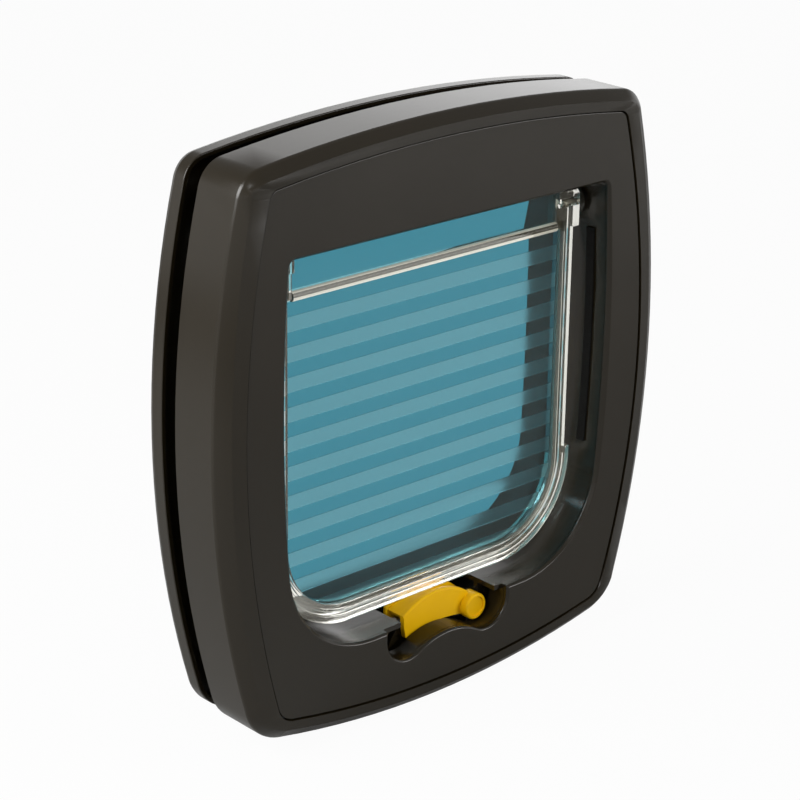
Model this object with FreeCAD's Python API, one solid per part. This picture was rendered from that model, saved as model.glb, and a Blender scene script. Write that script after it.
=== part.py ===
import FreeCAD, Part
import math
import os

# Cat flap for a door panel, in millimetres.
# +X is to the right and +Z up for a person indoors, and +Y runs through the door to outdoors.
# The origin is the middle of the frame's outline on the plane where the indoor frame meets the door.

# Frame outline, shared by both frames
frame_width = 241.0
frame_height = 252.0
side_bulge_radius = 402.0
side_bulge_height = 9.0
top_bulge_radius = 692.0
bottom_bulge_radius = 427.0
top_corner_radius = 13.0
bottom_corner_radius = 21.0

# Indoor frame
front_depth = 28.0
wall = 2.5
bevel_width = 6.0
bevel_depth = 5.5
crown_radius = 5000.0
edge_round = 2.0
tunnel_wall = 2.2
front_tunnel_reach = 1.5

# Cover plate on the indoor frame, which hides the screws
cover_side_inset = 12.0
cover_end_inset = 8.5
cover_top_corner = 5.0
cover_bottom_corner = 10.0
cover_thickness = 2.4
cover_recess = 0.6
cover_gap = 0.3
lip_round = 1.0

# Window and tunnel of the indoor frame
side_border = 32.2
top_border = 43.5
bottom_border = 39.5
window_side_radius = 809.0
window_side_height = 18.0
window_end_radius = 20000.0
window_top_corner = 3.0
window_bottom_corner = 44.0

# Outdoor frame
door_thickness = 10.0
rear_depth = 8.5
rear_inset = 1.1
rear_wall = 2.2
rear_round = 3.0
tunnel_gap = 3.0
rear_window_side_step = 3.1
rear_window_top_step = 2.0
rear_window_bottom_step = 5.2
rear_window_draft = 2.0
rear_window_side_radius = 1525.0
rear_window_corner_step = 2.0

# Flap
flap_axis_drop = 11.5
flap_depth = 7.0
flap_front = -12.2
flap_floor_gap = 3.7
flap_side_gap = 7.8
flap_lip = 2.9
flap_lip_height = 43.8
flap_lip_depth = 4.0
flap_corner_step = 3.5
flap_rim = 5.0
flap_groove_inset = 1.8
flap_groove_width = 1.3
flap_groove_depth = 1.3
flap_seam_width = 0.8
flap_sheet = 2.0
flap_crest = 5.6
bar_drop = 9.4
bar_radius = 2.1
ear_width = 12.0
ear_drop = 10.5
ear_step = 1.6
stripe_drop = 18.2
stripe_pitch = 12.4
stripe_height = 6.3
stripe_rise = 0.3

# Hinge
pin_radius = 2.0
pin_running_gap = 0.05
pin_engagement = 9.0
pin_head_radius = 3.4
pin_head_thickness = 1.5
pin_end_gap = 0.5
hinge_boss_radius = 5.9
hinge_boss_stand = 3.8
hinge_side_gap = 0.5
hinge_sleeve_radius = 4.4
hinge_sleeve_length = 6.0

# Draught strips beside the flap
strip_width = 4.2
strip_front = -18.6
strip_top_gap = 22.5
strip_bottom_gap = 50.5
strip_seat = 1.2
strip_thickness = 2.0
strip_backing = 1.4

# Latch
pivot_border = 14.0
latch_plate = 2.5
latch_gap = 0.5
latch_round = 0.7
cam_offset_x = 3.7
cam_offset_z = -2.0
cam_clearance = 0.5
cam_width = 13.9
cam_shoulder_angle = 128.0
cam_end_angle = 133.5
cam_end_inset = 3.1
cam_tip_angle = 141.4
cam_tip_inset = 7.8
knob_angle = 43.3
knob_inset = 3.9
knob_radius = 5.9
knob_length = 3.6
knob_dish_radius = 4.5
knob_dish_depth = 0.7
shelf_inset = 4.5
shelf_thickness = 2.4
hub_radius = 6.0
hub_bore_gap = 0.05
spigot_radius = 3.0
pivot_boss_radius = 5.0
saddle_gap = 0.3
saddle_slot_drop = 8.0
saddle_thickness = 2.4
saddle_overlap = 3.0

# Latch fixing
washer_radius = 5.5
washer_thickness = 0.5
latch_screw_radius = 1.4
latch_screw_head_radius = 3.4
latch_screw_head_height = 1.3
latch_screw_length = 8.0

# Kidney-shaped recess round the latch
recess_half_width = 34.0
recess_lobe_radius = 11.5
recess_lobe_drop = 4.5
recess_hump_drop = 9.8
recess_wall = 1.6
recess_open_top = 4.8
recess_notch_depth = 5.2
recess_room_left = 24.0
recess_knob_gap = 0.7
floor_cut_margin = 1.5

# Screws through the door
screw_side_border = 33.5
screw_top_border = 25.0
screw_bottom_border = 30.0
screw_radius = 2.0
screw_clearance = 0.25
screw_thread_gap = 0.05
screw_head_radius = 3.6
screw_head_height = 2.2
screw_head_clearance = 0.4
screw_grip = 6.0
screw_boss_radius = 5.2
boss_overlap = 0.4

# Derived places
half_width = frame_width / 2
half_height = frame_height / 2
window_half_width = half_width - side_border
window_top = half_height - top_border
window_bottom = bottom_border - half_height
front_face = -front_depth
flap_back = flap_front + flap_depth
flap_axis_y = flap_front + flap_depth / 2
flap_axis_height = window_top - flap_axis_drop
flap_bottom = window_bottom + flap_floor_gap
flap_half_width = window_half_width - flap_side_gap
flap_corner_radius = window_bottom_corner - flap_corner_step
flap_lip_top = flap_bottom + flap_lip_height
ear_bottom = flap_axis_height - ear_drop
ear_reach = window_half_width - hinge_boss_stand - hinge_side_gap
bar_height = flap_axis_height - bar_drop
stripe_top = flap_axis_height - stripe_drop
strip_top = window_top - strip_top_gap
strip_bottom = window_bottom + strip_bottom_gap
rear_rim = door_thickness
rear_face = door_thickness + rear_depth
rear_tunnel_start = front_tunnel_reach + tunnel_gap
rear_window_bottom = window_bottom + rear_window_bottom_step
pivot_height = pivot_border - half_height
cam_centre_z = pivot_height + cam_offset_z
cam_radius = flap_bottom - cam_clearance - cam_centre_z
shelf_radius = cam_radius - shelf_inset
recess_lobe_height = window_bottom - recess_lobe_drop
recess_hump_height = window_bottom - recess_hump_drop
saddle_half_width = recess_half_width + saddle_overlap
screw_x = half_width - screw_side_border
screw_top = half_height - screw_top_border
screw_bottom = screw_bottom_border - half_height
front_plate_y = flap_front - latch_gap - latch_plate
rear_plate_y = flap_back + latch_gap
cover_depth = cover_thickness + cover_recess
cover_back = front_face + cover_depth
skin_back = cover_back + wall
screw_seat = (cover_back + screw_top ** 2 / (2 * crown_radius) + screw_head_height
              + screw_head_clearance)


def barrel(half, top, bottom, side_radius, side_height, top_radius, bottom_radius, top_corner, bottom_corner):
    """Sizes of a rounded rectangle whose four sides bulge outwards."""
    return dict(half=half, top=top, bottom=bottom, side_radius=side_radius, side_height=side_height,
                top_radius=top_radius, bottom_radius=bottom_radius, top_corner=top_corner,
                bottom_corner=bottom_corner)


def inset(shape, amount):
    """The same rounded rectangle, moved inwards by an even amount."""
    return barrel(shape["half"] - amount, shape["top"] - amount, shape["bottom"] + amount,
                  shape["side_radius"] - amount, shape["side_height"], shape["top_radius"] - amount,
                  shape["bottom_radius"] - amount, max(shape["top_corner"] - amount, 1.0),
                  max(shape["bottom_corner"] - amount, 1.0))


def corner_centre(side, side_radius, end, end_radius, corner, upper):
    """Centre of the fillet that touches a side arc and an end arc from inside."""
    reach_side = side_radius - corner
    reach_end = end_radius - corner
    dx = end[0] - side[0]
    dz = end[1] - side[1]
    span = math.hypot(dx, dz)
    along = (reach_side ** 2 - reach_end ** 2 + span ** 2) / (2 * span)
    across = math.sqrt(reach_side ** 2 - along ** 2)
    middle = (side[0] + along * dx / span, side[1] + along * dz / span)
    sides = [(middle[0] + across * dz / span, middle[1] - across * dx / span),
             (middle[0] - across * dz / span, middle[1] + across * dx / span)]
    return max(sides, key=lambda p: p[0] + upper * p[1])


def touch(centre, radius, towards):
    """Point of a circle on the line from its centre through another point."""
    length = math.hypot(towards[0] - centre[0], towards[1] - centre[1])
    return (centre[0] + radius * (towards[0] - centre[0]) / length,
            centre[1] + radius * (towards[1] - centre[1]) / length)


def arc_edge(centre, radius, start, end, y):
    """Arc at depth y between two points, the short way round."""
    a = math.atan2(start[1] - centre[1], start[0] - centre[0])
    b = math.atan2(end[1] - centre[1], end[0] - centre[0])
    turn = (b - a + math.pi) % (2 * math.pi) - math.pi
    middle = (centre[0] + radius * math.cos(a + turn / 2), centre[1] + radius * math.sin(a + turn / 2))
    return Part.Arc(at(start, y), at(middle, y), at(end, y)).toShape()


def at(point, y):
    return FreeCAD.Vector(point[0], y, point[1])


def barrel_wire(shape, y):
    """Closed wire of eight arcs, from the lower right round to the bottom."""
    side = (shape["half"] - shape["side_radius"], shape["side_height"])
    top = (0.0, shape["top"] - shape["top_radius"])
    bottom = (0.0, shape["bottom"] + shape["bottom_radius"])
    upper = corner_centre(side, shape["side_radius"], top, shape["top_radius"], shape["top_corner"], 1)
    lower = corner_centre(side, shape["side_radius"], bottom, shape["bottom_radius"],
                          shape["bottom_corner"], -1)
    side_top = outward(side, upper, shape["side_radius"])
    top_end = outward(top, upper, shape["top_radius"])
    side_bottom = outward(side, lower, shape["side_radius"])
    bottom_end = outward(bottom, lower, shape["bottom_radius"])
    mirror = lambda p: (-p[0], p[1])
    edges = [arc_edge(side, shape["side_radius"], side_bottom, side_top, y),
             arc_edge(upper, shape["top_corner"], side_top, top_end, y),
             arc_edge(top, shape["top_radius"], top_end, mirror(top_end), y),
             arc_edge(mirror(upper), shape["top_corner"], mirror(top_end), mirror(side_top), y),
             arc_edge(mirror(side), shape["side_radius"], mirror(side_top), mirror(side_bottom), y),
             arc_edge(mirror(lower), shape["bottom_corner"], mirror(side_bottom), mirror(bottom_end), y),
             arc_edge(bottom, shape["bottom_radius"], mirror(bottom_end), bottom_end, y),
             arc_edge(lower, shape["bottom_corner"], bottom_end, side_bottom, y)]
    return Part.Wire(edges)


def outward(centre, fillet_centre, radius):
    """Point where an arc meets its corner fillet."""
    return touch(centre, radius, fillet_centre)


def prism(wire, depth):
    return Part.Face(wire).extrude(FreeCAD.Vector(0, depth, 0))


def barrel_prism(shape, start, end):
    return prism(barrel_wire(shape, start), end - start)


def cylinder_y(x, z, radius, start, end):
    return Part.makeCylinder(radius, end - start, FreeCAD.Vector(x, start, z), FreeCAD.Vector(0, 1, 0))


def cylinder_x(y, z, radius, start, end):
    return Part.makeCylinder(radius, end - start, FreeCAD.Vector(start, y, z), FreeCAD.Vector(1, 0, 0))


def box(x0, x1, y0, y1, z0, z1):
    return Part.makeBox(x1 - x0, y1 - y0, z1 - z0, FreeCAD.Vector(x0, y0, z0))


def polygon(points, y):
    return Part.makePolygon([at(p, y) for p in points + points[:1]])


def crown(depth):
    """Big cylinder whose front skin is the gently crowned face, set back by depth."""
    return Part.makeCylinder(crown_radius - depth, 2 * frame_width,
                             FreeCAD.Vector(-frame_width, front_face + crown_radius, 0),
                             FreeCAD.Vector(1, 0, 0))


def mirrored(shape):
    return shape.mirror(FreeCAD.Vector(0, 0, 0), FreeCAD.Vector(1, 0, 0))


def outline():
    return barrel(half_width, half_height, -half_height, side_bulge_radius, side_bulge_height,
                  top_bulge_radius, bottom_bulge_radius, top_corner_radius, bottom_corner_radius)


def window():
    return barrel(window_half_width, window_top, window_bottom, window_side_radius, window_side_height,
                  window_end_radius, window_end_radius, window_top_corner, window_bottom_corner)


def rear_window(bottom):
    return barrel(window_half_width - rear_window_side_step, window_top - rear_window_top_step, bottom,
                  rear_window_side_radius, window_side_height, window_end_radius, window_end_radius,
                  window_top_corner, window_bottom_corner - rear_window_corner_step)


def rear_passage(grow, start, end):
    """Tunnel shape of the outdoor frame, whose floor rises under the flap's swing."""
    front = inset(rear_window(rear_window_bottom - rear_window_draft), -grow)
    back = inset(rear_window(rear_window_bottom), -grow)
    shape = Part.makeLoft([barrel_wire(front, rear_tunnel_start), barrel_wire(back, rear_face)], True, True)
    if start < rear_tunnel_start:
        shape = shape.fuse(barrel_prism(front, start, rear_tunnel_start))
    if end > rear_face:
        shape = shape.fuse(barrel_prism(back, rear_face, end))
    return shape


def cover_outline():
    shape = inset(outline(), cover_end_inset)
    shape["half"] = half_width - cover_side_inset
    shape["top_corner"] = cover_top_corner
    shape["bottom_corner"] = cover_bottom_corner
    return shape


def recess_wire(grow, y):
    """Kidney outline of the latch recess: two lobes, a hump between them and an open top."""
    lobe_x = recess_half_width - recess_lobe_radius
    drop = recess_lobe_height - recess_hump_height
    lobe = recess_lobe_radius
    hump = (lobe_x ** 2 + drop ** 2 - lobe ** 2) / (2 * (lobe - drop))
    hump_centre = (0.0, recess_hump_height - hump)
    right = (lobe_x, recess_lobe_height)
    left = (-lobe_x, recess_lobe_height)
    lobe = lobe + grow
    hump = hump - grow
    right_join = touch(right, lobe, hump_centre)
    left_join = touch(left, lobe, hump_centre)
    right_side = (lobe_x + lobe, recess_lobe_height)
    left_side = (-lobe_x - lobe, recess_lobe_height)
    right_top = (lobe_x + lobe, window_bottom + recess_open_top)
    left_top = (-lobe_x - lobe, window_bottom + recess_open_top)
    edges = [Part.LineSegment(at(right_top, y), at(right_side, y)).toShape(),
             bulge(right, lobe, right_side, right_join, y),
             arc_edge(hump_centre, hump, right_join, left_join, y),
             bulge(left, lobe, left_join, left_side, y),
             Part.LineSegment(at(left_side, y), at(left_top, y)).toShape(),
             Part.LineSegment(at(left_top, y), at(right_top, y)).toShape()]
    return Part.Wire(edges)


def bulge(centre, radius, start, end, y):
    """Arc round the underside of a lobe."""
    low = (centre[0], centre[1] - radius)
    return Part.Arc(at(start, y), at(low, y), at(end, y)).toShape()


def screw_places():
    return {"top_left": (-screw_x, screw_top), "top_right": (screw_x, screw_top),
            "bottom_left": (-screw_x, screw_bottom), "bottom_right": (screw_x, screw_bottom)}


def stacked(shape, sections):
    """Solid through the same outline at several depths, each section given as an inset and a depth."""
    return Part.makeLoft([barrel_wire(inset(shape, amount), y) for amount, y in sections], True, True)


def bevelled_block(shape, rounding, front, back):
    """Straight body with a sloping band round its front edge and a small round where the wall starts."""
    slope = math.atan2(bevel_depth, bevel_width)
    turn = math.pi / 2 - slope
    tangent = rounding * math.tan(turn / 2)
    crest = rounding * (1 / math.cos(turn / 2) - 1)
    corner = front + bevel_depth
    sections = [(bevel_width, front)]
    if rounding > 0:
        sections.append((tangent * math.cos(slope), corner - tangent * math.sin(slope)))
        sections.append((crest * math.cos(turn / 2), corner + crest * math.sin(turn / 2)))
    sections.append((0.0, corner + tangent))
    sections.append((0.0, back))
    return stacked(shape, sections)


def hinge_boss():
    """Boss on the right tunnel wall, with a sleeve outside the wall, bored for the pin."""
    inner = ear_reach + hinge_side_gap
    outer = window_half_width + tunnel_wall
    boss = cylinder_x(flap_axis_y, flap_axis_height, hinge_boss_radius, inner, outer)
    sleeve = cylinder_x(flap_axis_y, flap_axis_height, hinge_sleeve_radius, outer - tunnel_wall,
                        outer + hinge_sleeve_length)
    return boss.fuse(sleeve)


def hinge_bore():
    return cylinder_x(flap_axis_y, flap_axis_height, pin_radius, ear_reach - pin_engagement,
                      window_half_width + tunnel_wall + 2 * hinge_sleeve_length)


def strip_channel(deep):
    """Space of a draught strip against the right tunnel wall, to a given depth into the wall."""
    block = box(window_half_width / 2, half_width, strip_front, strip_front + strip_width,
                strip_bottom, strip_top)
    return block.common(barrel_prism(inset(window(), -deep), strip_front, strip_front + strip_width))


def front_frame():
    tunnel = window()
    body = bevelled_block(outline(), edge_round, front_face, 0.0).common(crown(0.0))
    cavity = bevelled_block(inset(outline(), wall), 0.0, skin_back, wall)
    cavity = cavity.common(crown(cover_depth + wall))
    cavity = cavity.cut(barrel_prism(inset(tunnel, -tunnel_wall), front_face, wall))
    body = body.cut(cavity)
    body = body.fuse(barrel_prism(inset(tunnel, -tunnel_wall), skin_back - wall / 2, front_tunnel_reach))
    for x, z in screw_places().values():
        body = body.fuse(cylinder_y(x, z, screw_boss_radius, skin_back - boss_overlap, 0.0))
    body = body.fuse(saddle())
    body = body.fuse(recess_well())
    for side in (hinge_boss(), mirrored(hinge_boss())):
        body = body.fuse(side)
    for strip in (thick_wall(), mirrored(thick_wall())):
        body = body.fuse(strip)
    body = body.cut(barrel_prism(cover_outline(), front_face - wall, skin_back).cut(crown(cover_depth)))
    body = body.cut(barrel_prism(tunnel, front_face - wall, rear_rim).cut(boss_keep()))
    body = body.cut(recess_space()).cut(floor_cut())
    for cut in (hinge_bore(), mirrored(hinge_bore())):
        body = body.cut(cut)
    for cut in (strip_channel(strip_seat), mirrored(strip_channel(strip_seat))):
        body = body.cut(cut)
    for x, z in screw_places().values():
        body = body.cut(cylinder_y(x, z, screw_radius + screw_clearance, front_face, wall))
        body = body.cut(cylinder_y(x, z, screw_head_radius + screw_head_clearance, front_face, screw_seat))
    return body.removeSplitter()


def on_plane(edge, y):
    return all(abs(v.Point.y - y) < 0.001 for v in edge.Vertexes)


def boss_keep():
    """What stays in the tunnel when its inside is cleared: the two hinge bosses."""
    return hinge_boss().fuse(mirrored(hinge_boss()))


def thick_wall():
    """Local thickening behind the right draught strip's channel."""
    grown = box(window_half_width / 2, half_width, strip_front - strip_backing,
                strip_front + strip_width + strip_backing, strip_bottom - strip_backing,
                strip_top + strip_backing)
    ring = barrel_prism(inset(window(), -tunnel_wall - strip_seat), strip_front - strip_backing,
                        strip_front + strip_width + strip_backing)
    return grown.common(ring.cut(barrel_prism(window(), front_face, rear_rim)))


def saddle():
    """Wall behind the latch's front plate, arched under its shelf, with the pivot boss."""
    start = front_plate_y + latch_plate + saddle_gap
    crest = shelf_radius - shelf_thickness - saddle_gap
    slab = box(-saddle_half_width, saddle_half_width, start, start + saddle_thickness,
               -half_height, window_bottom - tunnel_wall / 2)
    end = start + saddle_thickness
    slot = cylinder_y(0.0, pivot_height, shelf_radius + saddle_gap, start - 1.0, end + 1.0)
    slot = slot.cut(cylinder_y(0.0, pivot_height, crest, start - 2.0, end + 2.0))
    slot = slot.common(box(-half_width, half_width, start - 1.0, end + 1.0,
                           pivot_height - saddle_slot_drop, 0.0))
    slab = slab.cut(slot).common(barrel_prism(inset(outline(), wall / 2), front_face, 0.0))
    boss = cylinder_y(0.0, pivot_height, pivot_boss_radius, start, rear_plate_y - saddle_gap)
    spigot = cylinder_y(0.0, pivot_height, spigot_radius, start, rear_plate_y + latch_plate + hub_bore_gap)
    bore = cylinder_y(0.0, pivot_height, latch_screw_radius,
                      rear_plate_y + latch_plate - latch_screw_length, 0.0)
    return slab.fuse(boss).fuse(spigot).cut(bore)


def recess_well():
    """Walls of the kidney recess, from the skin back to just before the latch's front plate."""
    start = cover_back
    end = front_plate_y - latch_gap
    block = prism(recess_wire(recess_wall, start), end - start)
    return block.common(box(-half_width, half_width, start, end, -half_height,
                            window_bottom - tunnel_wall / 2))


def recess_space():
    """Room of the recess: open above near the front and over the latch, and under the floor elsewhere."""
    start = front_face - wall
    notch = prism(recess_wire(0.0, start), recess_notch_depth + wall)
    deep = prism(recess_wire(0.0, start), front_plate_y - start)
    under = box(-half_width, half_width, start, front_plate_y, -half_height, window_bottom - tunnel_wall)
    return notch.fuse(deep.common(under.fuse(latch_room(start, front_plate_y, -half_height))))


def latch_room(start, end, bottom):
    """Block between the two sides of the space in which the latch moves."""
    right = knob_centre()[0] + knob_radius + recess_knob_gap
    return box(-recess_room_left, right, start, end, bottom, window_bottom + recess_open_top)


def floor_cut():
    """Opening in the tunnel floor above the latch."""
    hollow = prism(recess_wire(0.0, cover_back), -floor_cut_margin - cover_back)
    return hollow.common(latch_room(cover_back, -floor_cut_margin, window_bottom - tunnel_wall - wall))


def front_cover():
    shape = inset(cover_outline(), cover_gap)
    plate = barrel_prism(shape, front_face - wall, skin_back)
    plate = plate.common(crown(cover_recess)).cut(crown(cover_depth))
    plate = plate.cut(barrel_prism(window(), front_face - wall, skin_back))
    plate = plate.cut(prism(recess_wire(0.0, front_face - wall), skin_back - front_face + wall))
    lip = lip_round + cover_recess + window_bottom ** 2 / (2 * crown_radius)
    window_lip = stacked(window(), [(-lip, front_face), (0.0, front_face + lip)])
    recess_lip = Part.makeLoft([recess_wire(lip, front_face), recess_wire(0.0, front_face + lip)], True, True)
    return plate.cut(window_lip).cut(recess_lip).removeSplitter()


def rear_frame():
    shape = inset(outline(), rear_inset)
    quarter = [(rear_round * (1 - math.cos(a)), rear_face - rear_round * (1 - math.sin(a)))
               for a in (0.0, math.pi / 6, math.pi / 3, math.pi / 2)]
    body = stacked(shape, [(0.0, rear_rim)] + quarter)
    cavity = barrel_prism(inset(shape, rear_wall), rear_rim - rear_wall, rear_face - rear_wall)
    body = body.cut(cavity)
    inside = box(-half_width, half_width, rear_tunnel_start, rear_face - rear_wall / 2,
                 -half_height, half_height)
    body = body.fuse(rear_passage(rear_wall, rear_tunnel_start, rear_face).common(inside))
    for x, z in screw_places().values():
        body = body.fuse(cylinder_y(x, z, screw_boss_radius, rear_rim,
                                    rear_face - rear_wall + boss_overlap))
    body = body.cut(rear_passage(0.0, rear_tunnel_start - wall, rear_face + wall))
    for x, z in screw_places().values():
        body = body.cut(cylinder_y(x, z, screw_radius + screw_thread_gap, rear_rim - wall,
                                   rear_rim + screw_grip))
    return body.removeSplitter()


def flap_profile(grow, start, end):
    """U-shaped flap outline, wider or narrower than the main rim by grow."""
    half = flap_half_width + grow
    low = flap_bottom + flap_lip - grow
    radius = flap_corner_radius - flap_lip + grow
    top = flap_axis_height + flap_crest
    block = box(-half, half, start, end, low, top)
    lower = [e for e in block.Edges if e.BoundBox.YLength > 1.0 and e.BoundBox.ZMax < 0]
    return block.makeFillet(radius, lower)


def flap():
    sheet_front = flap_axis_y - flap_sheet / 2
    body = flap_profile(0.0, flap_front, flap_back)
    body = body.cut(flap_pocket(flap_front - 1.0, sheet_front))
    body = body.cut(flap_pocket(sheet_front + flap_sheet, flap_back + 1.0))
    body = body.fuse(flap_rim_lip())
    body = body.cut(front_groove(flap_seam_width / 2, flap_seam_width, flap_lip_top - flap_lip))
    body = body.fuse(cylinder_x(sheet_front, bar_height, bar_radius, ear_width - ear_reach,
                                ear_reach - ear_width))
    body = body.fuse(flap_ear()).fuse(mirrored(flap_ear()))
    body = body.cut(front_groove(-flap_groove_inset, flap_groove_width, flap_axis_height))
    sheet_height = stripe_top - flap_bottom - flap_lip - flap_rim
    for i in range(math.ceil(sheet_height / stripe_pitch)):
        body = body.fuse(stripe(i, sheet_front + flap_sheet))
    body = body.cut(ear_bore()).cut(mirrored(ear_bore()))
    return body.removeSplitter()


def flap_pocket(start, end):
    """Room on one side of the sheet, inside the rim and, at the top, between the hinge ears."""
    ear_inner = ear_reach - ear_width
    inside = flap_profile(-flap_rim, start, end)
    inside = inside.common(box(-half_width, half_width, start, end, -half_height,
                               flap_axis_height + flap_crest - flap_rim))
    return inside.fuse(box(-ear_inner, ear_inner, start, end, ear_bottom, half_height))


def flap_rim_lip():
    """Wider lip round the lower front of the rim."""
    lip = flap_profile(flap_lip, flap_front, flap_front + flap_lip_depth)
    lip = lip.cut(flap_profile(-flap_rim / 2, flap_front - 1.0, flap_back))
    return lip.common(box(-half_width, half_width, flap_front, flap_back, -half_height, flap_lip_top))


def front_groove(grow, width, top):
    """Groove in the rim's front face, following the outline up to a height."""
    end = flap_front + flap_groove_depth
    ring = flap_profile(grow, flap_front - 1.0, end)
    ring = ring.cut(flap_profile(grow - width, flap_front - 2.0, end + 1.0))
    return ring.common(box(-half_width, half_width, flap_front - 1.0, end, -half_height, top))


def stripe(i, sheet_back):
    """One raised frosted band across the back of the sheet."""
    top = stripe_top - i * stripe_pitch
    inner = flap_profile(-flap_rim + boss_overlap, sheet_back - flap_sheet / 2, sheet_back + stripe_rise)
    return inner.common(box(-half_width, half_width, sheet_back - flap_sheet / 2, sheet_back + stripe_rise,
                            top - stripe_height, top))


def flap_ear():
    """Right hinge ear: a block rounded about the hinge axis, stepped back inside the rim."""
    inner = ear_reach - ear_width
    body = box(inner, ear_reach, flap_front, flap_back, ear_bottom, flap_axis_height + flap_crest)
    top = [e for e in body.Edges if e.BoundBox.XLength > 1.0 and e.BoundBox.ZMin > flap_axis_height]
    body = body.makeFillet(flap_depth / 2 - 0.1, top)
    return body.cut(box(inner, flap_half_width - flap_rim, flap_front, flap_front + ear_step,
                        ear_bottom, flap_axis_height + flap_crest))


def ear_bore():
    return cylinder_x(flap_axis_y, flap_axis_height, pin_radius + pin_running_gap,
                      ear_reach - pin_engagement - pin_end_gap, ear_reach + pin_end_gap)


def hinge_pin():
    """Right hinge pin: shank through the boss into the flap's ear, with a head outside the wall."""
    shank_end = window_half_width + tunnel_wall + hinge_sleeve_length
    shank = cylinder_x(flap_axis_y, flap_axis_height, pin_radius, ear_reach - pin_engagement, shank_end)
    head = cylinder_x(flap_axis_y, flap_axis_height, pin_head_radius, shank_end,
                      shank_end + pin_head_thickness)
    return shank.fuse(head).removeSplitter()


def draught_strip():
    """Right pile strip, seated in its channel and standing a little proud of the wall."""
    strip = strip_channel(strip_seat)
    return strip.cut(barrel_prism(inset(window(), strip_thickness - strip_seat), front_face, 0.0))


def cam_point(angle, inset_by):
    """Point by its angle about the cam's centre and its distance inside the cam's outer arc."""
    turn = math.radians(angle)
    reach = cam_radius - inset_by
    return (cam_offset_x + reach * math.cos(turn), cam_centre_z + reach * math.sin(turn))


def knob_centre():
    return cam_point(knob_angle, knob_inset)


def cam_plate(start):
    """Crescent plate: a big outer arc off the pivot's centre, a short left end and a shallow lower arc."""
    centre = (cam_offset_x, cam_centre_z)
    shoulder = cam_point(cam_shoulder_angle, 0.0)
    right = cam_point(knob_angle, 0.0)
    end = cam_point(cam_end_angle, cam_end_inset)
    tip = cam_point(cam_tip_angle, cam_tip_inset)
    knob = knob_centre()
    low_right = (knob[0] - 0.8 * knob_radius, knob[1] - 0.5 * knob_radius)
    middle = ((tip[0] + low_right[0]) / 2, cam_centre_z + cam_radius - cam_width)
    edges = [arc_edge(centre, cam_radius, shoulder, right, start),
             Part.LineSegment(at(right, start), at(knob, start)).toShape(),
             Part.LineSegment(at(knob, start), at(low_right, start)).toShape(),
             Part.Arc(at(low_right, start), at(middle, start), at(tip, start)).toShape(),
             Part.LineSegment(at(tip, start), at(end, start)).toShape(),
             Part.LineSegment(at(end, start), at(shoulder, start)).toShape()]
    return prism(Part.Wire(edges), latch_plate)


def latch():
    front = cam_plate(front_plate_y)
    top = cam_centre_z + cam_radius
    crest = [e for e in front.Edges if on_plane(e, front_plate_y) and e.BoundBox.ZMax > top - 1.0]
    front = front.makeChamfer(latch_round, crest)
    knob_x, knob_height = knob_centre()
    knob = cylinder_y(knob_x, knob_height, knob_radius, front_plate_y - knob_length,
                      front_plate_y + latch_plate)
    knob = knob.makeChamfer(0.6, [e for e in knob.Edges if on_plane(e, front_plate_y - knob_length)])
    knob = knob.cut(cylinder_y(knob_x, knob_height, knob_dish_radius, front_plate_y - knob_length - 1.0,
                               front_plate_y - knob_length + knob_dish_depth))
    rear = cam_plate(rear_plate_y)
    end = cam_point(cam_shoulder_angle, cam_end_inset)
    tip = cam_point(cam_tip_angle, cam_tip_inset)
    left_angle = math.degrees(math.atan2(end[1] - pivot_height, end[0]))
    right_angle = math.degrees(math.atan2(knob_height - pivot_height, knob_x))
    shelf = Part.makeCylinder(shelf_radius, rear_plate_y - front_plate_y + latch_plate,
                              FreeCAD.Vector(0, front_plate_y, pivot_height), FreeCAD.Vector(0, 1, 0))
    inner = cylinder_y(0.0, pivot_height, shelf_radius - shelf_thickness, front_plate_y - 1.0, 0.0)
    reach = 2 * cam_radius
    sector = [(0.0, pivot_height), polar(left_angle, reach), polar(90.0, reach), polar(right_angle, reach)]
    wedge = prism(polygon(sector, front_plate_y - 1.0), -front_plate_y + 2.0)
    shelf = shelf.cut(inner).common(wedge)
    arm = prism(polygon([(-0.85 * hub_radius, pivot_height), (0.85 * hub_radius, pivot_height),
                         (knob_x - knob_radius, knob_height + latch_plate),
                         (tip[0] + latch_plate, tip[1] + latch_plate)],
                        rear_plate_y), latch_plate)
    hub = cylinder_y(0.0, pivot_height, hub_radius, rear_plate_y, rear_plate_y + latch_plate)
    body = front.fuse(knob).fuse(shelf).fuse(rear).fuse(arm).fuse(hub)
    body = body.cut(cylinder_y(0.0, pivot_height, spigot_radius + hub_bore_gap, rear_plate_y - 1.0, 0.0))
    return body.removeSplitter()


def polar(degrees, radius):
    """Point at an angle and distance from the latch's pivot."""
    angle = math.radians(degrees)
    return (radius * math.cos(angle), pivot_height + radius * math.sin(angle))


def latch_washer():
    start = rear_plate_y + latch_plate + hub_bore_gap
    disc = cylinder_y(0.0, pivot_height, washer_radius, start, start + washer_thickness)
    return disc.cut(cylinder_y(0.0, pivot_height, latch_screw_radius + hub_bore_gap, start - 1.0,
                               start + washer_thickness + 1.0))


def latch_screw():
    seat = rear_plate_y + latch_plate + hub_bore_gap + washer_thickness
    tip = rear_plate_y + latch_plate - latch_screw_length
    head = cylinder_y(0.0, pivot_height, latch_screw_head_radius, seat, seat + latch_screw_head_height)
    shank = cylinder_y(0.0, pivot_height, latch_screw_radius, tip + 1.0, seat)
    return head.fuse(shank).removeSplitter()


def door_screw(x, z):
    """Long screw from under the cover plate, through the door gap, into the outdoor frame."""
    head_front = screw_seat - screw_head_height
    head = cylinder_y(x, z, screw_head_radius, head_front, screw_seat)
    shank = cylinder_y(x, z, screw_radius, screw_seat, rear_rim + screw_grip)
    return head.fuse(shank).removeSplitter()


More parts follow.
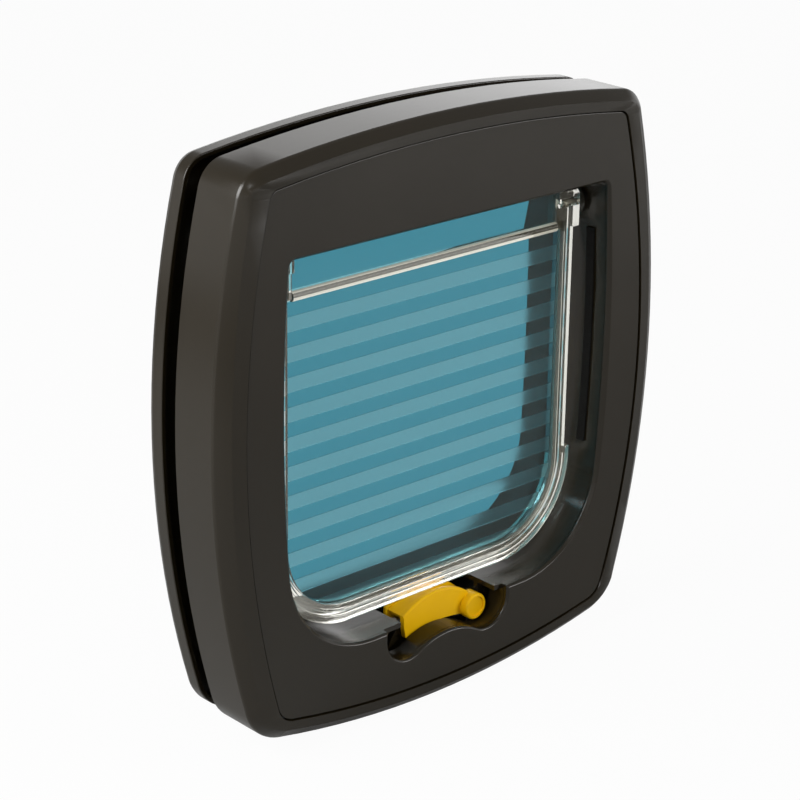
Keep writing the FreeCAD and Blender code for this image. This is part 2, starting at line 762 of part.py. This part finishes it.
def save(shape, node):
    if len(shape.Solids) == 1:
        shape = shape.Solids[0]
    print(node, "solids", len(shape.Solids), "valid", shape.isValid(), "volume", round(shape.Volume, 1))
    shape.exportStep("parts/" + node + ".step")


def main():
    os.makedirs("parts", exist_ok=True)
    save(front_frame(), "front_frame")
    save(front_cover(), "front_cover")
    save(rear_frame(), "rear_frame")
    save(flap(), "flap")
    save(hinge_pin(), "hinge_pin_right")
    save(mirrored(hinge_pin()), "hinge_pin_left")
    save(draught_strip(), "draught_strip_right")
    save(mirrored(draught_strip()), "draught_strip_left")
    save(latch(), "latch")
    save(latch_washer(), "latch_washer")
    save(latch_screw(), "latch_screw")
    for place, (x, z) in screw_places().items():
        save(door_screw(x, z), "door_screw_" + place)


main()
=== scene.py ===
import math
import bmesh
import bpy
from mathutils import Matrix, Vector


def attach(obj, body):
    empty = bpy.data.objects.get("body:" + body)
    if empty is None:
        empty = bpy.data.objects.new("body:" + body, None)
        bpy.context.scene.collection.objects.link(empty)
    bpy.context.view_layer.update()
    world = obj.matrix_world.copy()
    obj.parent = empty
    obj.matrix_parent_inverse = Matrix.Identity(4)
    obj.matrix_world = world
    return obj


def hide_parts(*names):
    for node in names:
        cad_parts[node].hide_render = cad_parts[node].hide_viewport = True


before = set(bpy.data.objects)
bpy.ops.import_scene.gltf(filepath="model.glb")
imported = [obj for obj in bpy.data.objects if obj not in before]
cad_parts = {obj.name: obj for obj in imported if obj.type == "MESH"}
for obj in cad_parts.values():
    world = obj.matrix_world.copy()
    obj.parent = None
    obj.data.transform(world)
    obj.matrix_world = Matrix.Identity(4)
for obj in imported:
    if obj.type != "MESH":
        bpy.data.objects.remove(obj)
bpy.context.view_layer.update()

mm = 0.001
print("frame loaded")


def hexColour(code):
    # sRGB hex to linear RGBA
    channels = []
    for i in (0, 2, 4):
        c = int(code[i:i + 2], 16) / 255
        channels.append(c / 12.92 if c <= 0.04045 else ((c + 0.055) / 1.055) ** 2.4)
    return (*channels, 1.0)


def addNode(tree, kind, inputs=None, **settings):
    # one node with its settings and its values or links
    node = tree.nodes.new(kind)
    for name, value in settings.items():
        setattr(node, name, value)
    for name, value in (inputs or {}).items():
        if isinstance(value, bpy.types.NodeSocket):
            tree.links.new(value, node.inputs[name])
        else:
            node.inputs[name].default_value = value
    return node


def newMaterial(name):
    material = bpy.data.materials.new(name)
    material.use_nodes = True
    material.node_tree.nodes.clear()
    return material, material.node_tree


def finishMaterial(tree, shader):
    addNode(tree, "ShaderNodeOutputMaterial", {"Surface": shader.outputs[0]})


camera = {
    "azimuth": -42.65,      # degrees, from the front towards the left
    "elevation": 20.95,
    "roll": 0.88,
    "distance": 946.45 * mm,
    "target": (-29.88 * mm, -26.5 * mm, 14.05 * mm),
    "focalPixels": 2404.77,
    "photoPixels": 800,
}


def makeCamera(cfg):
    a, e, r = (math.radians(cfg[k]) for k in ("azimuth", "elevation", "roll"))
    forward = Vector((-math.sin(a) * math.cos(e), math.cos(a) * math.cos(e), -math.sin(e)))
    level = Vector((math.cos(a), math.sin(a), 0.0))
    upright = level.cross(forward)
    right = level * math.cos(r) + upright * math.sin(r)
    up = upright * math.cos(r) - level * math.sin(r)
    data = bpy.data.cameras.new("photoCamera")
    data.sensor_fit = "HORIZONTAL"
    data.sensor_width = 36.0
    data.lens = 36.0 * cfg["focalPixels"] / cfg["photoPixels"]
    data.clip_start = 0.01
    data.clip_end = 20.0
    obj = bpy.data.objects.new("photoCamera", data)
    bpy.context.scene.collection.objects.link(obj)
    place = Vector(cfg["target"]) - forward * cfg["distance"]
    obj.matrix_world = Matrix(((right.x, up.x, -forward.x, place.x), (right.y, up.y, -forward.y, place.y),
                               (right.z, up.z, -forward.z, place.z), (0, 0, 0, 1)))
    bpy.context.scene.camera = obj


makeCamera(camera)
print("camera placed")


brownPlastic = {
    "colour": "191409",
    "colourLight": "1f190d",
    "roughness": (0.19, 0.30),
    "grainSize": 0.45,        # mm
    "grainDepth": 0.010,      # mm
    "patchSize": 60.0,        # mm, slow colour drift of the moulding
    "specular": 0.37,
}


def makeBrownPlastic(name, cfg):
    # ABS, injection moulded with a fine satin grain: dark, soft reflections, slight colour drift
    material, tree = newMaterial(name)
    coords = addNode(tree, "ShaderNodeTexCoord")
    patch = addNode(tree, "ShaderNodeTexNoise", {"Vector": coords.outputs["Object"],
                    "Scale": 1000 / cfg["patchSize"], "Detail": 2.0, "Roughness": 0.5})
    tint = addNode(tree, "ShaderNodeMix", {"Factor": patch.outputs["Fac"], "A": hexColour(cfg["colour"]),
                   "B": hexColour(cfg["colourLight"])}, data_type="RGBA")
    grain = addNode(tree, "ShaderNodeTexNoise", {"Vector": coords.outputs["Object"],
                    "Scale": 1000 / cfg["grainSize"], "Detail": 3.0, "Roughness": 0.6})
    bump = addNode(tree, "ShaderNodeBump", {"Height": grain.outputs["Fac"], "Strength": 0.35,
                   "Distance": cfg["grainDepth"] * mm})
    glossy, dull = cfg["roughness"]
    rough = addNode(tree, "ShaderNodeMapRange", {"Value": patch.outputs["Fac"], "To Min": glossy,
                    "To Max": dull})
    shader = addNode(tree, "ShaderNodeBsdfPrincipled", {"Base Color": tint.outputs["Result"],
                     "Roughness": rough.outputs["Result"], "Normal": bump.outputs["Normal"], "IOR": 1.52,
                     "Specular IOR Level": cfg["specular"]})
    finishMaterial(tree, shader)
    return material


clearPlastic = {
    "tint": "f6f5ee",
    "roughness": 0.06,
    "ior": 1.45,
    "haze": "d2cbb6",         # what a moulded rim scatters instead of letting it through
    "hazeShare": 0.06,
}
barPaintedHighlight = {**clearPlastic, "haze": "ece7d6", "hazeShare": 0.70}      # bright lines along the bar: a painted highlight, milky in place of its glints
barPaintedShade = {**clearPlastic, "haze": "4a473a", "hazeShare": 0.80}      # darker line between them: painted shade, dark in place of what the clear bar bends away

sheetPlastic = {
    "tint": "3a889b",
    "roughness": 0.01,
    "ior": 1.15,              # thin and flat, so only its faint reflection is kept
    "haze": "b9b3ab",
    "hazeShare": 0.06,
}
frostPlastic = {**sheetPlastic, "tint": "9ab0b8", "roughness": 0.35, "haze": "cdd3d0", "hazeShare": 0.15}
shadowTint = "d4d4d2"         # light that reaches what lies behind the clear pieces


def makeClear(name, cfg):
    # moulded polystyrene: bends what is seen through it, and lets light on into the tunnel behind
    material, tree = newMaterial(name)
    glass = addNode(tree, "ShaderNodeBsdfPrincipled", {"Base Color": hexColour(cfg["tint"]),
                    "Roughness": cfg["roughness"], "IOR": cfg["ior"], "Transmission Weight": 1.0})
    milky = addNode(tree, "ShaderNodeBsdfDiffuse", {"Color": hexColour(cfg["haze"])})
    surface = addNode(tree, "ShaderNodeMixShader", {0: cfg["hazeShare"], 1: glass.outputs[0],
                      2: milky.outputs[0]})
    path = addNode(tree, "ShaderNodeLightPath")
    through = addNode(tree, "ShaderNodeBsdfTransparent", {"Color": hexColour(shadowTint)})
    mixed = addNode(tree, "ShaderNodeMixShader", {0: path.outputs["Is Shadow Ray"], 1: surface.outputs[0],
                    2: through.outputs[0]})
    finishMaterial(tree, mixed)
    return material


yellowPlastic = {
    "colour": "e6b002",
    "colourLight": "ecb806",
    "roughness": 0.34,
    "patchSize": 12.0,        # mm
    "grainSize": 0.8,         # mm
    "grainDepth": 0.008,      # mm
    "specular": 0.20,
}


def makeYellowPlastic(cfg):
    # acetal, injection moulded and satin: strong yellow with soft highlights on its edges
    material, tree = newMaterial("yellowAcetal")
    coords = addNode(tree, "ShaderNodeTexCoord")
    patch = addNode(tree, "ShaderNodeTexNoise", {"Vector": coords.outputs["Object"],
                    "Scale": 1000 / cfg["patchSize"], "Detail": 2.0})
    tint = addNode(tree, "ShaderNodeMix", {"Factor": patch.outputs["Fac"], "A": hexColour(cfg["colour"]),
                   "B": hexColour(cfg["colourLight"])}, data_type="RGBA")
    grain = addNode(tree, "ShaderNodeTexNoise", {"Vector": coords.outputs["Object"],
                    "Scale": 1000 / cfg["grainSize"], "Detail": 2.0})
    bump = addNode(tree, "ShaderNodeBump", {"Height": grain.outputs["Fac"], "Strength": 0.3,
                   "Distance": cfg["grainDepth"] * mm})
    shader = addNode(tree, "ShaderNodeBsdfPrincipled", {"Base Color": tint.outputs["Result"],
                     "Roughness": cfg["roughness"], "Normal": bump.outputs["Normal"], "IOR": 1.48,
                     "Specular IOR Level": cfg["specular"]})
    finishMaterial(tree, shader)
    return material


zincSteel = {"colour": "b9b7ae", "roughness": (0.24, 0.42), "grainSize": 0.3}        # grain in mm


def makeZincSteel(cfg):
    # bright zinc plate over turned steel: pale metal whose gloss varies a little
    material, tree = newMaterial("zincPlatedSteel")
    coords = addNode(tree, "ShaderNodeTexCoord")
    grain = addNode(tree, "ShaderNodeTexNoise", {"Vector": coords.outputs["Object"],
                    "Scale": 1000 / cfg["grainSize"], "Detail": 2.0})
    glossy, dull = cfg["roughness"]
    rough = addNode(tree, "ShaderNodeMapRange", {"Value": grain.outputs["Fac"], "To Min": glossy,
                    "To Max": dull})
    shader = addNode(tree, "ShaderNodeBsdfPrincipled", {"Base Color": hexColour(cfg["colour"]),
                     "Metallic": 1.0, "Roughness": rough.outputs["Result"]})
    finishMaterial(tree, shader)
    return material


pile = {"colour": "0d0d0c", "tip": "1f1e1c", "tuftSize": 0.5, "tuftDepth": 0.4}      # tufts in mm; tip is painted light on the tuft tops, so the pile's near black reads as painted shade between them


def makePile(cfg):
    # polypropylene pile, woven and cut: near black with a short furry surface, and painted shade down
    # between its tufts
    material, tree = newMaterial("blackPile")
    coords = addNode(tree, "ShaderNodeTexCoord")
    tufts = addNode(tree, "ShaderNodeTexVoronoi", {"Vector": coords.outputs["Object"],
                    "Scale": 1000 / cfg["tuftSize"]})
    # lighter on the raised tuft tops, darker between them: painted shade that follows the bump
    tint = addNode(tree, "ShaderNodeMix", {"Factor": tufts.outputs["Distance"], "A": hexColour(cfg["tip"]),
                   "B": hexColour(cfg["colour"])}, data_type="RGBA")
    bump = addNode(tree, "ShaderNodeBump", {"Height": tufts.outputs["Distance"], "Strength": 0.8,
                   "Distance": -cfg["tuftDepth"] * mm})
    shader = addNode(tree, "ShaderNodeBsdfPrincipled", {"Base Color": tint.outputs["Result"],
                     "Roughness": 0.9, "Normal": bump.outputs["Normal"], "Specular IOR Level": 0.1})
    finishMaterial(tree, shader)
    return material


frameMaterial = makeBrownPlastic("brownAbsFrame", brownPlastic)
clearMaterial = makeClear("clearPolystyrene", clearPlastic)
# the bar's two clear materials carry a painted highlight and a painted shade
barPaintedHighlightMaterial = makeClear("clearBarPaintedHighlight", barPaintedHighlight)
barPaintedShadeMaterial = makeClear("clearBarPaintedShade", barPaintedShade)
sheetMaterial = makeClear("tintedPolystyreneSheet", sheetPlastic)
frostMaterial = makeClear("frostedPolystyreneBand", frostPlastic)
latchMaterial = makeYellowPlastic(yellowPlastic)
steelMaterial = makeZincSteel(zincSteel)
pileMaterial = makePile(pile)
print("materials made")


ring = {
    # the frame's front ring beside the cover
    "drop": 1.2,              # mm that it falls back at the left and right
    "ringFacing": -0.97,      # normal's y on the ring, at most
    "bandFacing": (-0.85, -0.5),      # and on the sloping band that it meets
}


def dropRing(work, cfg):
    # lets the ring fall back towards the sloping band at the left and right
    steepest, flattest = cfg["bandFacing"]
    leans = {}
    for edge in work.edges:
        if len(edge.link_faces) == 2:
            flat, slope = sorted((face.normal for face in edge.link_faces), key=lambda normal: normal.y)
            if flat.y < cfg["ringFacing"] and steepest < slope.y < flattest:
                for vert in edge.verts:
                    leans[vert] = max(leans.get(vert, 0.0), slope.x ** 2 / (1 - slope.y ** 2))
    for vert, lean in leans.items():
        vert.co.y += cfg["drop"] * mm * lean
    work.normal_update()


seam = {
    # the cover's outline and how far its edge is drawn in, in mm
    "halfWidth": 108.2,
    "halfHeight": 117.2,
    "sideRadius": 390.0,
    "sideHeight": 9.0,
    "topRadius": 683.0,
    "bottomRadius": 418.0,
    "reach": 2.5,             # from the outline to what still counts as its edge
    "draw": 0.25,
}


def widenSeam(work, cfg):
    # draws the cover's outer edge in a little, so that the dark line round it shows
    for vert in work.verts:
        x, z = vert.co.x / mm, vert.co.z / mm
        side = cfg["halfWidth"] - (z - cfg["sideHeight"]) ** 2 / (2 * cfg["sideRadius"])
        top = cfg["halfHeight"] - x ** 2 / (2 * cfg["topRadius"])
        bottom = x ** 2 / (2 * cfg["bottomRadius"]) - cfg["halfHeight"]
        if abs(x) > side - cfg["reach"] or z > top - cfg["reach"] or z < bottom + cfg["reach"]:
            vert.co.x *= 1 - cfg["draw"] / cfg["halfWidth"]
            vert.co.z *= 1 - cfg["draw"] / cfg["halfHeight"]


finish = {
    "merge": 0.002,           # mm
    "flat": 0.5,              # degrees between faces that become one
    "sharp": 32.0,            # degrees from which an edge is rounded
}


def smoothCopy(node, body, material, bevel):
    # a merged, smooth-shaded copy of a solid with softened edges, which stands for it
    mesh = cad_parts[node].data.copy()
    mesh.name = node + "Shell"
    work = bmesh.new()
    work.from_mesh(mesh)
    bmesh.ops.remove_doubles(work, verts=work.verts, dist=finish["merge"] * mm)
    if node == "front_frame":
        dropRing(work, ring)
    if node == "front_cover":
        widenSeam(work, seam)
    bmesh.ops.dissolve_limit(work, angle_limit=math.radians(finish["flat"]), verts=work.verts,
                             edges=work.edges)
    for face in work.faces:
        face.smooth = True
    work.to_mesh(mesh)
    work.free()
    mesh.set_sharp_from_angle(angle=math.radians(finish["sharp"]))
    mesh.materials.clear()
    mesh.materials.append(material)
    piece = bpy.data.objects.new(node + "Shell", mesh)
    bpy.context.scene.collection.objects.link(piece)
    soften = piece.modifiers.new("edgeRound", "BEVEL")
    soften.width = bevel * mm
    soften.segments = 2
    soften.limit_method = "ANGLE"
    soften.angle_limit = math.radians(finish["sharp"])
    soften.harden_normals = True
    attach(piece, body)
    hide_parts(node)
    return piece


shells = {
    # node: body, material, slot, edge rounding in mm
    "front_frame": ("frame", frameMaterial, "frame_plastic", 0.5),
    "front_cover": ("frame", frameMaterial, "cover_plastic", 0.3),
    "rear_frame": ("frame", frameMaterial, "rear_plastic", 0.5),
    "flap": ("flap", clearMaterial, "flap_clear", 0.25),
    "latch": ("latch", latchMaterial, "latch_yellow", 0.4),
}
pieces = {}
for node, (body, material, slotName, bevel) in shells.items():
    pieces[node] = smoothCopy(node, body, material, bevel)

for name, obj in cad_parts.items():
    if name in shells:
        continue
    chosen = pileMaterial if name.startswith("draught_strip") else steelMaterial
    obj.data.materials.clear()
    obj.data.materials.append(chosen)
print("solids dressed")

flapSheet = {
    # where the sheet, its bands and the bar lie in the flap, in mm
    "front": -9.7,
    "back": -7.7,
    "bandBack": -7.4,
    "halfWidth": 75.6,
    "barHeight": 61.6,
    "barRadius": 2.1,
    "barFront": -9.75,
    "near": 0.05,
}
paintedShadeFacing = (-0.1, 0.7)      # normal's z between which the bar shows its painted shade line
flapFaces = {"sheet": sheetMaterial, "band": frostMaterial, "barPaintedHighlight": barPaintedHighlightMaterial,
             "barPaintedShade": barPaintedShadeMaterial}


def flapPart(face, cfg):
    # name of the part of the flap that a face belongs to, or None on the rim and the ears
    c = face.calc_center_median() / mm
    low, high = paintedShadeFacing
    if abs(c.x) > cfg["halfWidth"]:
        return None
    if abs(c.z - cfg["barHeight"]) < cfg["barRadius"]:
        if c.y >= cfg["barFront"]:
            return None
        # faces whose normals point from level to steeply up get the painted shade line, the rest of the
        # bar the painted highlight
        return "barPaintedShade" if low < face.normal.z < high else "barPaintedHighlight"
    if cfg["back"] + cfg["near"] < c.y < cfg["bandBack"] + cfg["near"]:
        return "band"
    onSheet = min(abs(c.y - cfg["front"]), abs(c.y - cfg["back"])) < cfg["near"]
    return "sheet" if onSheet and abs(face.normal.y) > 0.9 else None


def dressFlap(mesh, cfg):
    # the sheet, its frosted bands and the cross bar get their own materials by face; the bar's are a
    # painted highlight along its edges and a painted shade line between them
    work = bmesh.new()
    work.from_mesh(mesh)
    for side in (-1, 1):
        level = (cfg["barHeight"] + side * cfg["barRadius"]) * mm
        bmesh.ops.bisect_plane(work, geom=work.verts[:] + work.edges[:] + work.faces[:], dist=1e-7,
                               plane_co=(0, 0, level), plane_no=(0, 0, 1))
    indices = {None: 0}
    for name, material in flapFaces.items():
        indices[name] = len(mesh.materials)
        mesh.materials.append(material)
    for face in work.faces:
        face.material_index = indices[flapPart(face, cfg)]
    work.to_mesh(mesh)
    work.free()


dressFlap(pieces["flap"].data, flapSheet)
print("flap faces sorted")


stage = {
    "floor": -126.0,          # mm
    "size": 2.6,              # m, from edge to edge
    "paper": "b8b8b7",
    "whiteShare": 0.96,       # of the plain white that the camera and clear pieces see
    "glossShare": 0.04,       # of it in reflections, so that a gloss surface also shows the shadow
    "ambient": 0.17,
    "glossLow": 1.0,          # of the same white, in what gloss surfaces show of the backdrop
    "glossHigh": 0.3,         # and of the darker room above it
    "backdropTop": (0.22, 0.42),      # heights of the direction between which it ends
}


def seenDirect(tree, cfg):
    # 0 to 1: how far a ray gets the plain white background in place of the lit paper
    path = addNode(tree, "ShaderNodeLightPath")
    clear = addNode(tree, "ShaderNodeMath", {0: path.outputs["Is Camera Ray"],
                    1: path.outputs["Is Transmission Ray"]}, operation="MAXIMUM")
    clear = addNode(tree, "ShaderNodeMath", {0: clear.outputs[0], 1: cfg["whiteShare"]},
                    operation="MULTIPLY")
    gloss = addNode(tree, "ShaderNodeMath", {0: path.outputs["Is Glossy Ray"], 1: cfg["glossShare"]},
                    operation="MULTIPLY")
    return addNode(tree, "ShaderNodeMath", {0: clear.outputs[0], 1: gloss.outputs[0]}, operation="MAXIMUM")


def makeStage(cfg):
    material, tree = newMaterial("paleFloor")
    paper = addNode(tree, "ShaderNodeBsdfDiffuse", {"Color": hexColour(cfg["paper"])})
    white = addNode(tree, "ShaderNodeEmission", {"Color": (1.0, 1.0, 1.0, 1.0), "Strength": 1.0})
    mixed = addNode(tree, "ShaderNodeMixShader", {0: seenDirect(tree, cfg).outputs[0], 1: paper.outputs[0],
                    2: white.outputs[0]})
    finishMaterial(tree, mixed)
    mesh = bpy.data.meshes.new("floor")
    work = bmesh.new()
    bmesh.ops.create_grid(work, x_segments=1, y_segments=1, size=cfg["size"] / 2)
    bmesh.ops.translate(work, verts=work.verts, vec=(0, 0, cfg["floor"] * mm))
    work.to_mesh(mesh)
    work.free()
    mesh.materials.append(material)
    floor = bpy.data.objects.new("floor", mesh)
    bpy.context.scene.collection.objects.link(floor)


def makeWorld(cfg):
    world = bpy.data.worlds.new("studio")
    bpy.context.scene.world = world
    world.use_nodes = True
    tree = world.node_tree
    tree.nodes.clear()
    path = addNode(tree, "ShaderNodeLightPath")
    seen = addNode(tree, "ShaderNodeMath", {0: path.outputs["Is Camera Ray"],
                   1: path.outputs["Is Transmission Ray"]}, operation="MAXIMUM")
    coords = addNode(tree, "ShaderNodeTexCoord")
    height = addNode(tree, "ShaderNodeSeparateXYZ", {"Vector": coords.outputs["Generated"]})
    low, high = cfg["backdropTop"]
    backdrop = addNode(tree, "ShaderNodeMapRange", {"Value": height.outputs["Z"], "From Min": low,
                       "From Max": high, "To Min": cfg["glossLow"], "To Max": cfg["glossHigh"]})
    gloss = addNode(tree, "ShaderNodeMath", {0: path.outputs["Is Glossy Ray"],
                    1: backdrop.outputs["Result"]}, operation="MULTIPLY")
    seen = addNode(tree, "ShaderNodeMath", {0: seen.outputs[0], 1: gloss.outputs[0]}, operation="MAXIMUM")
    soft = addNode(tree, "ShaderNodeBackground", {"Color": (1, 1, 1, 1), "Strength": cfg["ambient"]})
    white = addNode(tree, "ShaderNodeBackground", {"Color": (1, 1, 1, 1), "Strength": 1.0})
    mixed = addNode(tree, "ShaderNodeMixShader", {0: seen.outputs[0], 1: soft.outputs[0],
                    2: white.outputs[0]})
    addNode(tree, "ShaderNodeOutputWorld", {"Surface": mixed.outputs[0]})


lamps = {
    # place and aim in metres, size in metres, power in watts
    "keyLamp": {"place": (-0.80, 0.05, 0.50), "aim": (-0.15, 0.1, -0.1), "size": (0.7, 0.5), "power": 13},
    "fillLamp": {"place": (0.85, -1.00, 0.34), "aim": (0, 0, 0.02), "size": (0.9, 0.4), "power": 11.5},
    "cornerLamp": {"place": (-0.70, -1.36, 1.24), "aim": (0, 0, 0), "size": (0.2, 0.2), "power": 1.8},
    "topLamp": {"place": (1.0, 1.1, 0.52), "aim": (0, 0, 0.1), "size": (0.9, 0.9), "power": 2.2},
}


def makeLamp(name, cfg):
    data = bpy.data.lights.new(name, "AREA")
    data.shape = "RECTANGLE"
    data.size, data.size_y = cfg["size"]
    data.energy = cfg["power"]
    obj = bpy.data.objects.new(name, data)
    bpy.context.scene.collection.objects.link(obj)
    obj.location = cfg["place"]
    aim = Vector(cfg["aim"]) - obj.location
    obj.rotation_euler = aim.to_track_quat("-Z", "Y").to_euler()


makeStage(stage)
makeWorld(stage)
for name, cfg in lamps.items():
    makeLamp(name, cfg)
bpy.context.scene.view_settings.view_transform = "Standard"
print("stage and lamps placed")
